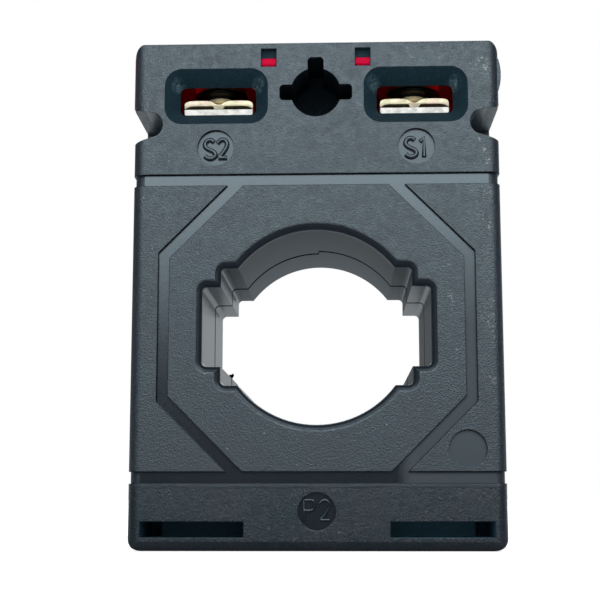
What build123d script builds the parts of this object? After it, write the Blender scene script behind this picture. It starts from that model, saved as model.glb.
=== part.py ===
from build123d import *
import math
import os

# Window-type current transformer, millimetres, Z up, the marked P2 face looks to -Y.
# The aperture runs along Y and the case stands on its bottom edge.

# Aperture
bore_radius = 17.55
bore_margin = 0.4
slot_step = 6.7
wide_slot_height = 14.4
slot_corner = 0.9
bore_rounding = 1.4

# Walls of the case and its clearances round the ring
wall_front = 2.2
wall_side = 2.1
wall_bore = 2.0
ring_bore_gap = 0.47
ring_side_gap = 0.2
ring_floor_gap = 0.9
ring_roof_gap = 1.3
rear_roof = 3.4
seat_length = 3.3
seat_inset = 1.4
parting_offset = 1.0
parting_jog = 2.5

# Transformer ring
core_build = 3.35
core_length = 26.2
core_cap_thickness = 0.4
core_cap_gap = 0.4
winding_thickness = 1.2
winding_gap_degrees = 14.0
wrap_thickness = 0.3
wrap_fit = 0.05

# Edges of the case
flange_proud = 0.15
corner_bottom = 2.5
corner_top = 2.5
edge_side = 2.0
edge_bottom = 1.7
edge_top = 0.5

# Foot slots
foot_low = 2.35
foot_height = 2.8
foot_roof = 2.45
foot_inset = 2.3
foot_width = 18.26
foot_depth = 10.0
foot_deep_width = 2.6
foot_deep_depth = 15.0

# Surface grooves
groove_depth = 0.7
flank_groove_depth = 0.25
groove_width = 2.1
groove_margin = 4.07
panel_margin = 4.9
panel_groove = 2.0
panel_chamfer = 12.35

# Mark discs
disc_radius = 3.35
disc_depth = 0.65
disc_window_gap = 1.17
disc_band_gap = 1.49
disc_corner_rise = 0.59
disc_corner_inset = 3.47

# Terminal screw
shank_radius = 2.5
shank_fit = 0.05
shank_past = 1.3
head_radius = 5.0
head_height = 3.1
head_rounding = 1.5
head_gap = 1.7
drive_slot_width = 1.2
drive_slot_depth = 1.5
drive_slot_length = 6.4

# Captive nut and the well below it
nut_width = 8.0
nut_height = 4.0
nut_corner = 0.6
nut_gap = 0.15
well_depth = 2.4
well_floor = 1.5

# Terminal plate
plate_width = 13.1
plate_thickness = 1.2
plate_nose = 5.4
plate_gap = 0.4
plate_side_gap = 3.55
plate_corner = 0.3
plate_edge = 0.8
plate_hole_gap = 0.3
tail_width = 6.0
tail_wall = 0.8
tail_gap = 0.5
tail_slot_gap = 0.15
lead_inset = 0.05

# Saddle clamp
saddle_rise = 1.8
saddle_sheet = 1.0
saddle_inset = 0.3
saddle_side_inset = 0.1
saddle_end_drop = 0.45
saddle_bend = 0.9
saddle_dip_half = 1.2
saddle_dip_drop = 0.75
saddle_foot_half = 0.8
clamp_travel = 2.2
head_room = 0.2

# Terminal chamber and the tower between the covers
chamber_step = 2.0
ledge_rise = 0.5
tower_wall = 1.55
neck_step = 1.4
neck_drop = 2.7

# Terminal window
window_margin = 0.5
window_height = 5.4
window_rise = 2.5
window_drop = 0.16
window_flare_x = 2.45
window_flare_z = 2.55
window_outer_corner = 3.2
window_inner_corner = 1.2

# Keyhole
key_rise = 2.9
key_radius = 4.6
key_lobe_length = 2.05
key_lobe_half = 1.45
key_lobe_corner = 0.7
key_pocket = 12.0

# Latch slot and tab
latch_inset = 0.43
latch_width = 2.85
latch_sill = 0.36
latch_bridge = 1.18
latch_clearance = 0.08
latch_height = 1.7
latch_recess = 0.2
latch_rounding = 0.5
latch_rib_length = 3.0

# Covers
cover_thickness = 2.0
cover_gap = 0.3
cover_fit = 0.1
cover_web_gap = 1.0
cover_web_thickness = 1.5
cover_web_foot = 0.6
cover_proud = 0.3
grip_radius = 1.0
grip_pitch = 2.6
grip_count = 3
grip_foot = 1.5

# Side notches
notch_depth = 16.5
notch_inset = 5.3
notch_shoulder = 1.1
notch_drop = 0.05
notch_ceiling_fall = 0.75
notch_tip_fall = 2.55
notch_floor_fall = 4.95
notch_mouth_fall = 6.35

# Side pad on the right flank, as proud as the grips of the covers
pad_rise = 3.25
pad_height = 6.0
pad_proud = 0.6

# Aperture slots follow the round bore
high_slot_width = 2 * (bore_radius - bore_margin)
high_slot_height = wide_slot_height + slot_step
wide_slot_width = high_slot_width + slot_step
slots = ((wide_slot_width, wide_slot_height), (high_slot_width, high_slot_height))
aperture_reach = max([bore_radius] + [math.hypot(*slot) / 2 for slot in slots])

# The ring stands clear of the aperture tube, and the case stands clear of the ring
ring_inner = aperture_reach + wall_bore + ring_bore_gap
ring_outer = (ring_inner + core_build + wrap_fit + wrap_thickness
              + 2 * (core_cap_thickness + winding_thickness))
core_end = core_length / 2
cap_end = core_end + core_cap_thickness
winding_end = cap_end + winding_thickness
ring_end = winding_end + wrap_thickness
half_width = ring_outer + ring_side_gap + wall_side
rear_y = ring_end + seat_length + wall_front
front_y = -rear_y
case_width = 2 * half_width
case_depth = 2 * rear_y
flange_half = half_width + flange_proud
full_half = half_width + pad_proud
inside_half = half_width - wall_side

# Depths behind the front face
chamber_y = front_y + wall_front + chamber_step
plate_near_y = chamber_y + plate_gap
axis_y = plate_near_y + plate_nose
pocket_half = nut_width / 2 + nut_gap
tail_y = axis_y + pocket_half + tail_wall
plate_far_y = tail_y + plate_thickness

# Levels from the bottom edge up
cavity_floor = foot_low + foot_height + foot_roof
bore_height = cavity_floor + ring_floor_gap + ring_outer
groove_offset = aperture_reach + groove_margin
cavity_top = bore_height + ring_outer + ring_roof_gap
nut_level = cavity_top + well_floor + well_depth
deck_level = nut_level + nut_height
plate_level = deck_level + plate_thickness
saddle_top = plate_level + saddle_rise
head_level = saddle_top + head_gap
head_top = head_level + head_height
block_top = head_top + clamp_travel + head_room
neck_level = block_top - neck_drop
case_height = block_top + cover_gap + cover_thickness
ledge_level = deck_level + ledge_rise
tail_end = cavity_top + tail_gap
shank_end = nut_level - shank_past
key_level = deck_level + key_rise
latch_low = neck_level + latch_sill
latch_high = case_height - latch_bridge

# Places across the front
tower_half = key_radius + key_lobe_length + tower_wall
neck_half = tower_half - neck_step
terminal_x = tower_half + plate_side_gap + plate_width / 2
latch_inner_x = neck_half + latch_inset
latch_outer_x = latch_inner_x + latch_width
panel_half = half_width - panel_margin
foot_outer_x = half_width - foot_inset
mirror_sides = (-1, 1)

os.makedirs("parts", exist_ok=True)


def slab(x_span, y_span, z_span):
    """Box between two values on each axis."""
    spans = (x_span, y_span, z_span)
    middle = [(low + high) / 2 for low, high in spans]
    size = [abs(high - low) for low, high in spans]
    return Pos(*middle) * Box(*size)


def front_prism(sketch, near_y, far_y):
    """Sketch seen from the front (x right, y up) carried from near_y to far_y."""
    plane = Plane(origin=(0, far_y, 0), x_dir=(1, 0, 0), z_dir=(0, -1, 0))
    return extrude(plane * sketch, amount=far_y - near_y)


def post(radius, x, y, low, high):
    """Upright cylinder."""
    return Pos(x, y, (low + high) / 2) * Cylinder(radius, high - low)


def ring(inner, outer, near_y, far_y):
    """Ring round the aperture axis."""
    sketch = Pos(0, bore_height) * (Circle(outer) - Circle(inner))
    return front_prism(sketch, near_y, far_y)


def polygon(points):
    return make_face(Polyline(*points, close=True))


# Aperture profile and the tube wall round it
bore_sketch = Circle(bore_radius)
tube_sketch = Circle(bore_radius + wall_bore)
for width, height in slots:
    bore_sketch += fillet(Rectangle(width, height).vertices(), slot_corner)
    outer_slot = Rectangle(width + 2 * wall_bore, height + 2 * wall_bore)
    tube_sketch += fillet(outer_slot.vertices(), slot_corner + wall_bore)
bore_sketch = Pos(0, bore_height) * bore_sketch
tube_sketch = Pos(0, bore_height) * tube_sketch


def rounded_block(half, low, high, end, corner):
    """Block between two levels with rounded uprights and one rounded pair of corners."""
    outline = Pos(0, (low + high) / 2) * Rectangle(2 * half, high - low)
    outline = fillet(outline.vertices().group_by(Axis.Y)[end], corner)
    plan = fillet(Rectangle(2 * half, case_depth).vertices(), edge_side)
    return front_prism(outline, front_y, rear_y) & Pos(0, 0, low) * extrude(plan, amount=high - low)


def side_block(half):
    """Block with the bottom and top edges of both faces rounded."""
    side = Pos(0, case_height / 2) * Rectangle(case_depth, case_height)
    side = fillet(side.vertices().group_by(Axis.Y)[0], edge_bottom)
    side = fillet(side.vertices().group_by(Axis.Y)[-1], edge_top)
    side_plane = Plane(origin=(-half, 0, 0), x_dir=(0, 1, 0), z_dir=(1, 0, 0))
    return extrude(side_plane * side, amount=2 * half)


def upper_block(half):
    """Rounded outline of the case and covers above the ledges."""
    return rounded_block(half, ledge_level, case_height, -1, corner_top) & side_block(half)


def case_envelope():
    """Rounded case, a little wider above the ledges of the covers."""
    body = rounded_block(half_width, 0, ledge_level, 0, corner_bottom) & side_block(half_width)
    return body + upper_block(flange_half)


def band_cutter(low):
    """Groove that runs right round the case."""
    high = low + groove_width
    outer = slab((-full_half, full_half), (front_y, rear_y), (low, high))
    plan = Rectangle(case_width - 2 * flank_groove_depth, case_depth - 2 * groove_depth)
    plan = fillet(plan.vertices(), edge_side)
    return outer - Pos(0, 0, low) * extrude(plan, amount=groove_width)


def panel_cutter():
    """Eight-sided groove in both faces between the two bands."""
    inner_half = panel_half - panel_groove
    inner_chamfer = panel_chamfer + groove_width * math.sqrt(2) - panel_groove
    outer = chamfer(Rectangle(2 * panel_half, 2 * groove_offset).vertices(), panel_chamfer)
    inner = chamfer(Rectangle(2 * inner_half, 2 * groove_offset).vertices(), inner_chamfer)
    sketch = Pos(0, bore_height) * (outer - inner)
    near = front_prism(sketch, front_y, front_y + groove_depth)
    far = front_prism(sketch, rear_y - groove_depth, rear_y)
    return near + far


def keyhole_sketch():
    reach = key_radius + key_lobe_length
    lobe_side = Rectangle(2 * reach, 2 * key_lobe_half)
    lobe_side = fillet(lobe_side.vertices(), key_lobe_corner)
    lobe_up = Pos(0, reach / 2) * Rectangle(2 * key_lobe_half, reach)
    lobe_up = fillet(lobe_up.vertices().group_by(Axis.Y)[-1], key_lobe_corner)
    return Pos(0, key_level) * (Circle(key_radius) + lobe_side + lobe_up)


def window_outline(x, y, z, flare_x, flare_z, corner):
    """Rounded outline of the terminal window at one depth."""
    width = plate_width + 2 * (window_margin + flare_x)
    height = window_height + 2 * flare_z
    outline = fillet(Rectangle(width, height).vertices(), corner)
    return Plane(origin=(x, y, z), x_dir=(1, 0, 0), z_dir=(0, -1, 0)) * outline


def window_cutter(side):
    """Flared terminal window."""
    x = side * terminal_x
    centre = deck_level + window_rise
    near = window_outline(x, front_y, centre - window_drop,
                          window_flare_x, window_flare_z, window_outer_corner)
    far = window_outline(x, chamber_y, centre, 0, 0, window_inner_corner)
    return loft([near, far])


def disc_cutter(x, z, face_y, inward):
    sketch = Pos(x, z) * Circle(disc_radius)
    reach = face_y + inward * disc_depth
    return front_prism(sketch, min(face_y, reach), max(face_y, reach))


def disc_cutters():
    """Shallow round recesses that carry the marks."""
    window_low = deck_level + window_rise - window_drop - window_height / 2 - window_flare_z
    terminal_z = window_low - disc_window_gap - disc_radius
    band_low = bore_height - groove_offset - groove_width
    primary_z = band_low - disc_band_gap - disc_radius
    corner_x = half_width - disc_corner_inset - disc_radius
    corner_z = bore_height - groove_offset + disc_corner_rise + disc_radius
    places = [(side * terminal_x, terminal_z, front_y, 1) for side in mirror_sides]
    places += [(0, primary_z, front_y, 1), (corner_x, corner_z, front_y, 1)]
    places += [(0, primary_z, rear_y, -1)]
    return [disc_cutter(*place) for place in places]


def foot_cutters():
    """Stepped slots for the tongues of a mounting foot, in both faces."""
    cutters = []
    for face_y, inward in ((front_y, 1), (rear_y, -1)):
        for width, depth in ((foot_width, foot_depth), (foot_deep_width, foot_deep_depth)):
            for side in mirror_sides:
                cutters.append(slab(
                    sorted((side * (foot_outer_x - width), side * foot_outer_x)),
                    sorted((face_y, face_y + inward * depth)),
                    (foot_low, foot_low + foot_height)))
    return cutters


def notch_cutter(side):
    """Side notch that runs back from the front face."""
    ceiling = deck_level - notch_drop
    outside = side * (half_width + notch_inset)
    flank = side * half_width
    shoulder = side * (half_width - notch_inset + notch_shoulder)
    tip = side * (half_width - notch_inset)
    mouth = ceiling - notch_mouth_fall
    upper = (shoulder, ceiling - notch_ceiling_fall)
    lower = (shoulder, ceiling - notch_floor_fall)
    edge = ThreePointArc(upper, (tip, ceiling - notch_tip_fall), lower)
    edge += Polyline(lower, (flank, mouth), (outside, mouth), (outside, ceiling),
                     (flank, ceiling), upper)
    return front_prism(make_face(edge), front_y, front_y + notch_depth)


def cover_space(side):
    """Room for one cover above the deck."""
    inner = side * tower_half
    neck = side * neck_half
    outer = side * full_half
    inside = side * inside_half
    lip_y = front_y + wall_front
    space = slab(sorted((inner, inside)), (chamber_y, rear_y), (deck_level, case_height))
    space += slab(sorted((neck, outer)), (chamber_y, rear_y), (neck_level, case_height))
    space += slab(sorted((inside, outer)), (lip_y, rear_y), (ledge_level, case_height))
    space += slab(sorted((neck, outer)), (lip_y, rear_y), (block_top, case_height))
    return space


def terminal_cutter(x):
    """Nut pocket, shank well and tail slot of one terminal."""
    tail_half = tail_width / 2 + tail_slot_gap
    cut = slab((x - pocket_half, x + pocket_half),
               (axis_y - pocket_half, axis_y + pocket_half), (nut_level, deck_level))
    cut += post(shank_radius + plate_hole_gap, x, axis_y, nut_level - well_depth, deck_level)
    cut += slab((x - tail_half, x + tail_half), (tail_y, plate_far_y + tail_slot_gap),
                (cavity_top, deck_level))
    return cut


def latch_slot(side):
    return slab(sorted((side * latch_inner_x, side * latch_outer_x)),
                (front_y, chamber_y), (latch_low, latch_high))


def cavity(near_y, far_y, top):
    """Room for the ring, left round the aperture tube."""
    room = slab((-inside_half, inside_half), (near_y, far_y), (cavity_floor, top))
    return room - front_prism(tube_sketch, near_y, far_y)


def seat(near_y, far_y):
    """Ring that carries one end of the transformer ring."""
    return ring(ring_inner + seat_inset, ring_outer - seat_inset, near_y, far_y)


def flank_pad():
    """Bowed pad on the right flank beside the front face."""
    low = deck_level + pad_rise
    high = low + pad_height
    root = half_width - edge_side
    edge = ThreePointArc((flange_half, low), (full_half, (low + high) / 2), (flange_half, high))
    edge += Polyline((flange_half, high), (root, high), (root, low), (flange_half, low))
    return front_prism(make_face(edge), front_y + edge_side / 2, front_y + wall_front)


envelope = case_envelope() - front_prism(bore_sketch, front_y, rear_y)
mouths = envelope.edges().filter_by(
    lambda edge: abs(edge.center().Y) > rear_y - groove_depth
    and abs(edge.center().X) < panel_half
    and abs(edge.center().Z - bore_height) < groove_offset)
envelope = fillet(mouths, bore_rounding)
envelope -= band_cutter(bore_height + groove_offset)
envelope -= band_cutter(bore_height - groove_offset - groove_width)
envelope -= panel_cutter()
for side in mirror_sides:
    envelope -= cover_space(side)
for cutter in disc_cutters() + foot_cutters():
    envelope -= cutter
keyhole = keyhole_sketch()
envelope -= front_prism(keyhole, front_y, front_y + key_pocket)
envelope -= front_prism(keyhole, rear_y - key_pocket, rear_y)

# Case halves, the parting step inside the aperture is staggered left and right
front_region = slab((-full_half, full_half), (front_y, parting_offset), (0, case_height))
left_half = slab((-full_half, 0), (front_y, rear_y), (0, case_height))
front_region += left_half & front_prism(
    tube_sketch, parting_offset, parting_offset + parting_jog)

front_shell = envelope & front_region
front_shell -= cavity(front_y + wall_front, parting_offset, cavity_top)
for side in mirror_sides:
    front_shell -= window_cutter(side)
    front_shell -= notch_cutter(side)
    front_shell -= terminal_cutter(side * terminal_x)
    front_shell -= latch_slot(side)
front_shell += seat(front_y + wall_front, -ring_end)
front_shell += flank_pad()

rear_shell = envelope - front_region
rear_shell -= cavity(parting_offset, rear_y - wall_front, deck_level - rear_roof)
rear_shell += seat(ring_end, rear_y - wall_front)

# Transformer ring from the core outwards
wrap_inner = ring_outer - wrap_thickness
winding_outer = wrap_inner - wrap_fit
cap_inner = ring_inner + winding_thickness
cap_outer = winding_outer - winding_thickness
core_inner = cap_inner + core_cap_thickness
core_outer = cap_outer - core_cap_thickness

ring_core = ring(core_inner, core_outer, -core_end, core_end)
core_caps = {}
for name, near, far in (("front", -cap_end, -core_cap_gap / 2),
                        ("rear", core_cap_gap / 2, cap_end)):
    core_caps[name] = ring(cap_inner, cap_outer, near, far) - ring_core
gap_reach = 2 * ring_outer
gap_half = gap_reach * math.tan(math.radians(winding_gap_degrees / 2))
gap_wedge = front_prism(
    Pos(0, bore_height) * polygon([(0, 0), (gap_half, gap_reach), (-gap_half, gap_reach)]),
    -ring_end, ring_end)
secondary_winding = ring(ring_inner, winding_outer, -winding_end, winding_end)
secondary_winding -= ring(cap_inner, cap_outer, -cap_end, cap_end)
secondary_winding -= gap_wedge
winding_band = ring(wrap_inner, ring_outer, -winding_end, winding_end)

export_step(front_shell, "parts/front_shell.step")
export_step(rear_shell, "parts/rear_shell.step")
export_step(ring_core, "parts/ring_core.step")
export_step(core_caps["front"], "parts/core_cap_front.step")
export_step(core_caps["rear"], "parts/core_cap_rear.step")
export_step(secondary_winding, "parts/secondary_winding.step")
export_step(winding_band, "parts/winding_band.step")
export_step(ring(ring_inner, ring_outer, -ring_end, -winding_end),
            "parts/winding_ring_front.step")
export_step(ring(ring_inner, ring_outer, winding_end, ring_end),
            "parts/winding_ring_rear.step")


def terminal_plate(x):
    """Flat plate with a soldering tail bent down through the deck."""
    blank = Pos(x, (plate_near_y + plate_far_y) / 2) * Rectangle(
        plate_width, plate_far_y - plate_near_y)
    blank = fillet(blank.vertices().group_by(Axis.Y)[0], plate_corner)
    end = Pos(x, (deck_level + plate_level) / 2) * Rectangle(plate_width, plate_thickness)
    end = fillet(end.vertices().group_by(Axis.Y)[0], plate_edge)
    plate = Pos(0, 0, deck_level) * extrude(blank, amount=plate_thickness)
    plate &= front_prism(end, plate_near_y, plate_far_y)
    plate += slab((x - tail_width / 2, x + tail_width / 2), (tail_y, plate_far_y),
                  (tail_end, plate_level))
    return plate - post(shank_radius + plate_hole_gap, x, axis_y, deck_level, plate_level)


def square_nut(x):
    blank = fillet(Rectangle(nut_width, nut_width).vertices(), nut_corner)
    nut = Pos(x, axis_y, nut_level) * extrude(blank, amount=nut_height)
    return nut - post(shank_radius + shank_fit, x, axis_y, nut_level, deck_level)


def saddle_clamp(x):
    """Sheet clamp with a dip in the middle and ends turned down."""
    outer = plate_width / 2 - saddle_side_inset
    half_length = plate_nose - saddle_inset
    under = saddle_top - saddle_sheet
    right = [
        (saddle_foot_half, plate_level),
        (saddle_foot_half + saddle_sheet / 2, under),
        (outer - saddle_bend, under),
        (outer - saddle_sheet / 4, under - saddle_end_drop),
        (outer, under - saddle_end_drop + saddle_sheet / 4),
        (outer, saddle_top - saddle_bend / 2),
        (outer - saddle_bend / 2, saddle_top),
        (saddle_dip_half, saddle_top),
        (0, saddle_top - saddle_dip_drop),
    ]
    left = [(-px, pz) for px, pz in reversed(right[:-1])]
    body = front_prism(Pos(x, 0) * polygon(right + left),
                       axis_y - half_length, axis_y + half_length)
    return body - post(shank_radius + shank_fit, x, axis_y, plate_level, saddle_top)


def terminal_screw(x):
    """Pan head screw with crossed drive slots."""
    head = post(head_radius, x, axis_y, head_level, head_top)
    head = fillet(head.edges().filter_by(GeomType.CIRCLE).group_by(Axis.Z)[-1], head_rounding)
    half = drive_slot_length / 2
    narrow = drive_slot_width / 2
    for x_half, y_half in ((half, narrow), (narrow, half)):
        head -= slab((x - x_half, x + x_half), (axis_y - y_half, axis_y + y_half),
                     (head_top - drive_slot_depth, head_top))
    return head + post(shank_radius, x, axis_y, shank_end, head_level)


def winding_lead(x):
    """Lead from the outer band up to the tail of the plate."""
    y = (tail_y + plate_far_y) / 2
    angle = math.atan2(tail_end - bore_height, x)
    radial = Vector(math.cos(angle), 0, math.sin(angle))
    start = Vector(0, y, bore_height) + radial * ring_outer
    path = Spline(start, Vector(x, y, tail_end), tangents=(radial, Vector(0, 0, 1)))
    section = Circle(plate_thickness / 2 - lead_inset)
    return sweep(Plane(origin=start, z_dir=radial) * section, path=path)


def terminal_cover(side, proud):
    """Red hood with top, side, rear wall, inner web and latch tab."""
    half = half_width + proud
    outer = side * half
    inner_side = side * (inside_half + cover_gap)
    neck = side * (neck_half + cover_fit)
    tower = side * (tower_half + cover_gap)
    lip = front_y + wall_front + cover_fit
    ledge = ledge_level + cover_fit
    web_near = plate_far_y + cover_web_gap
    grip_x = side * (full_half - grip_radius)
    cover = slab(sorted((neck, outer)), (lip, rear_y),
                 (case_height - cover_thickness, case_height))
    cover += slab(sorted((inner_side, outer)), (lip, rear_y), (ledge, case_height))
    cover += slab(sorted((tower, outer)), (rear_y - cover_thickness, rear_y),
                  (ledge, case_height))
    cover += slab(sorted((tower, inner_side)), (web_near, web_near + cover_web_thickness),
                  (deck_level + cover_web_foot, case_height))
    cover &= upper_block(half)
    for step in range(grip_count):
        grip_y = rear_y - cover_thickness - step * grip_pitch
        cover += post(grip_radius, grip_x, grip_y, ledge + grip_foot, case_height - corner_top)
    tab_x = sorted((side * (latch_inner_x + latch_clearance),
                    side * (latch_outer_x - latch_clearance)))
    tab_low = latch_low + latch_clearance
    rib_near = chamber_y + cover_gap
    rib_far = rib_near + latch_rib_length
    tab = slab(tab_x, (front_y + latch_recess, rib_far), (tab_low, tab_low + latch_height))
    tab = fillet(tab.edges().filter_by(Axis.X).group_by(Axis.Y)[0], latch_rounding)
    tab += slab(tab_x, (rib_near, rib_far), (tab_low, case_height))
    return cover + tab


for side, prefix in ((1, "s1"), (-1, "s2")):
    x = side * terminal_x
    pieces = {
        "plate": terminal_plate(x),
        "nut": square_nut(x),
        "saddle": saddle_clamp(x),
        "screw": terminal_screw(x),
        "lead": winding_lead(x),
        "cover": terminal_cover(side, cover_proud if side < 0 else flange_proud),
    }
    for piece_name, piece in pieces.items():
        export_step(piece, f"parts/{prefix}_{piece_name}.step")
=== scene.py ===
"""Looks of a window-type current transformer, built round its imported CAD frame."""

import logging
import math
from collections.abc import Callable
from dataclasses import dataclass
from enum import Enum

import bpy
from bpy.types import Material, Node, Object
from mathutils import Matrix, Vector


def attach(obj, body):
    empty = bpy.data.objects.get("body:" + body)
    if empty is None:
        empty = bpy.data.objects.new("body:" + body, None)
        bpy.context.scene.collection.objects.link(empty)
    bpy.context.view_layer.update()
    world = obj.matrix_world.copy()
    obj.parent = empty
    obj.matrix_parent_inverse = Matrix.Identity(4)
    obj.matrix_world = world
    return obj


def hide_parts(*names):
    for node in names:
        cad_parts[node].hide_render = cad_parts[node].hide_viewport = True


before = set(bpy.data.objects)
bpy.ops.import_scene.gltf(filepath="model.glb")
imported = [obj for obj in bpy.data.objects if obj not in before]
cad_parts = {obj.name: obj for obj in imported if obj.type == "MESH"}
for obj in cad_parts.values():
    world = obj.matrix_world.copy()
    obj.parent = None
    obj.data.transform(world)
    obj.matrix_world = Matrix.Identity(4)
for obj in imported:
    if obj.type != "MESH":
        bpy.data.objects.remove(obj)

log = logging.getLogger("current_transformer")

MM = 0.001
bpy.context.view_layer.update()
Colour = tuple[float, float, float]
Point = tuple[float, float, float]
Place = tuple[float, float]
WHITE: Colour = (1.0, 1.0, 1.0)
# Near black of the dark joint lines and of the lines of painted shade.
JOINT_AND_SHADE_BLACK: Colour = (0.004, 0.006, 0.008)
AXIS_Z = 39.6 * MM
FACE_Y = 20.5 * MM
TERMINAL_X = 18.3 * MM
SCREW_Y = -10.5 * MM
GRAIN_SCALE = 4200.0
# Heights between which the screw is painted near black: painted shade over the top of the neck and the
# lower side of the head.
SCREW_SHADE_BAND: Place = (84.15 * MM, 85.25 * MM)
TURNED_LINES: Point = (1.0, 1.0, 0.2)


class Side(Enum):
    """The two secondary terminals, by the side of the case they stand on."""

    S1 = 1
    S2 = -1

    @property
    def prefix(self) -> str:
        """Start of the names of this terminal's nodes."""
        return self.name.lower()

    @property
    def axis(self) -> Place:
        """Upright axis of this terminal's screw, as x and y."""
        return self.value * TERMINAL_X, SCREW_Y


class Wire:
    """A shader socket that takes part in Python expressions."""

    def __init__(self, graph: "Graph", socket: bpy.types.NodeSocket) -> None:
        """Keep the socket and the graph that owns it."""
        self.graph = graph
        self.socket = socket

    def _maths(self, operation: str, first: object, second: object) -> "Wire":
        """Add one Math node and return its result."""
        node = self.graph.add("ShaderNodeMath", {"operation": operation}, {0: first, 1: second})
        return Wire(self.graph, node.outputs[0])

    def __add__(self, other: object) -> "Wire":
        """Sum."""
        return self._maths("ADD", self, other)

    __radd__ = __add__

    def __sub__(self, other: object) -> "Wire":
        """Difference."""
        return self._maths("SUBTRACT", self, other)

    def __rsub__(self, other: object) -> "Wire":
        """Difference from the left-hand value."""
        return self._maths("SUBTRACT", other, self)

    def __mul__(self, other: object) -> "Wire":
        """Product."""
        return self._maths("MULTIPLY", self, other)

    __rmul__ = __mul__

    def __truediv__(self, other: object) -> "Wire":
        """Quotient."""
        return self._maths("DIVIDE", self, other)

    def __gt__(self, other: object) -> "Wire":
        """One where this value is the larger, else zero."""
        return self._maths("GREATER_THAN", self, other)

    def __lt__(self, other: object) -> "Wire":
        """One where this value is the smaller, else zero."""
        return self._maths("LESS_THAN", self, other)

    def __abs__(self) -> "Wire":
        """Size without its sign."""
        return self._maths("ABSOLUTE", self, 0.0)

    def larger(self, other: object) -> "Wire":
        """Larger of two values, which joins two masks."""
        return self._maths("MAXIMUM", self, other)

    def smaller(self, other: object) -> "Wire":
        """Smaller of two values, which keeps what two masks share."""
        return self._maths("MINIMUM", self, other)

    def root(self) -> "Wire":
        """Square root."""
        return self._maths("SQRT", self, 0.0)

    def reach(self, other: "Wire") -> "Wire":
        """Length of the line that two crossed distances span."""
        return (self * self + other * other).root()

    def towards(self, mask: "Wire", level: object) -> "Wire":
        """This value, moved to a level where a mask asks."""
        return self + mask * (level - self)

    def wave(self) -> "Wire":
        """Sine of the value."""
        return self._maths("SINE", self, 0.0)

    def fade(self, start: float, end: float) -> "Wire":
        """Zero up to one value, one from the other on, and even between."""
        node = self.graph.add("ShaderNodeMapRange", None,
                              {"Value": self, "From Min": start, "From Max": end})
        return Wire(self.graph, node.outputs[0])


class Graph:
    """One node tree and the single method that makes its nodes."""

    def __init__(self, owner: bpy.types.ID, output: str = "ShaderNodeOutputMaterial") -> None:
        """Start an empty tree with its output.

        Args:
            owner: Material or world that holds the tree.
            output: Type of the output node.
        """
        owner.use_nodes = True
        self.owner = owner
        self.tree = owner.node_tree
        self.tree.nodes.clear()
        self.output = self.tree.nodes.new(output)

    @classmethod
    def material(cls, name: str) -> "Graph":
        """Start a new material."""
        return cls(bpy.data.materials.new(name))

    def add(self, kind: str, settings: dict | None = None, values: dict | None = None) -> Node:
        """Add one node.

        Args:
            kind: Node type.
            settings: Node properties, which are set first.
            values: Socket names or numbers with their values or links.

        Returns:
            The new node.
        """
        node = self.tree.nodes.new(kind)
        for name, setting in (settings or {}).items():
            setattr(node, name, setting)
        for name, value in (values or {}).items():
            socket = node.inputs[name]
            if isinstance(value, Wire):
                self.tree.links.new(value.socket, socket)
            elif isinstance(value, tuple) and len(value) == 3 and socket.type == "RGBA":
                socket.default_value = (*value, 1.0)
            else:
                socket.default_value = value
        return node

    def out(self, node: Node, name: str | int = 0) -> Wire:
        """Wrap one output of a node."""
        return Wire(self, node.outputs[name])

    def place(self) -> tuple[Wire, Wire, Wire, Wire]:
        """Object coordinates as a vector and as three numbers.

        Returns:
            The vector, then its x, y and z.
        """
        vector = self.out(self.add("ShaderNodeTexCoord"), "Object")
        parts = self.add("ShaderNodeSeparateXYZ", None, {0: vector})
        return vector, self.out(parts, 0), self.out(parts, 1), self.out(parts, 2)

    def stretched(self, vector: Wire, scale: Point) -> Wire:
        """Coordinates stretched along the three axes."""
        return self.out(self.add("ShaderNodeMapping", None, {"Vector": vector, "Scale": scale}))

    def noise(self, vector: Wire, scale: float, detail: float = 4.0, rough: float = 0.5) -> Wire:
        """Fractal noise from 0 to 1, by its features per metre and its octaves."""
        node = self.add("ShaderNodeTexNoise", None,
                        {"Vector": vector, "Scale": scale, "Detail": detail, "Roughness": rough})
        return self.out(node, 0)

    def cells(self, vector: Wire, scale: float) -> Wire:
        """Distance to the nearest of scattered points."""
        node = self.add("ShaderNodeTexVoronoi", None, {"Vector": vector, "Scale": scale})
        return self.out(node, "Distance")

    def blend(self, mask: Wire, first: Colour | Wire, second: Colour | Wire) -> Wire:
        """Mix two colours by a mask."""
        node = self.add("ShaderNodeMix", {"data_type": "RGBA"}, {0: mask, 6: first, 7: second})
        return self.out(node, 2)

    def bump(self, height: Wire, depth: float, strength: float, soft_edge: float = 0.0) -> Wire:
        """Surface normal from a height, with edges softened first where asked.

        Args:
            height: Height of the relief.
            depth: Distance that a height of one stands for.
            strength: Weight of the relief.
            soft_edge: Radius that the edges seem to have.

        Returns:
            The normal.
        """
        values = {"Height": height, "Distance": depth, "Strength": strength}
        if soft_edge:
            bevel = self.add("ShaderNodeBevel", {"samples": 4}, {"Radius": soft_edge})
            values["Normal"] = self.out(bevel)
        return self.out(self.add("ShaderNodeBump", None, values))

    def finish(self, values: dict, joint_and_shade: Wire | None = None) -> Material:
        """Close the graph with one surface shader, matt black where a mask of dark joints and painted
        shade asks.

        Args:
            values: Sockets of the surface shader.
            joint_and_shade: Mask of the dark joint lines and of the lines of painted shade.

        Returns:
            The finished material.
        """
        surface = self.out(self.add("ShaderNodeBsdfPrincipled", None, values))
        if joint_and_shade is not None:
            black = self.out(self.add("ShaderNodeBsdfDiffuse", None, {"Color": JOINT_AND_SHADE_BLACK}))
            surface = self.out(self.add("ShaderNodeMixShader", None, {0: joint_and_shade, 1: surface, 2: black}))
        return self.close(surface)

    def close(self, surface: Wire) -> bpy.types.ID:
        """Feed the output and hand back the tree's owner."""
        self.tree.links.new(surface.socket, self.output.inputs[0])
        return self.owner


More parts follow.
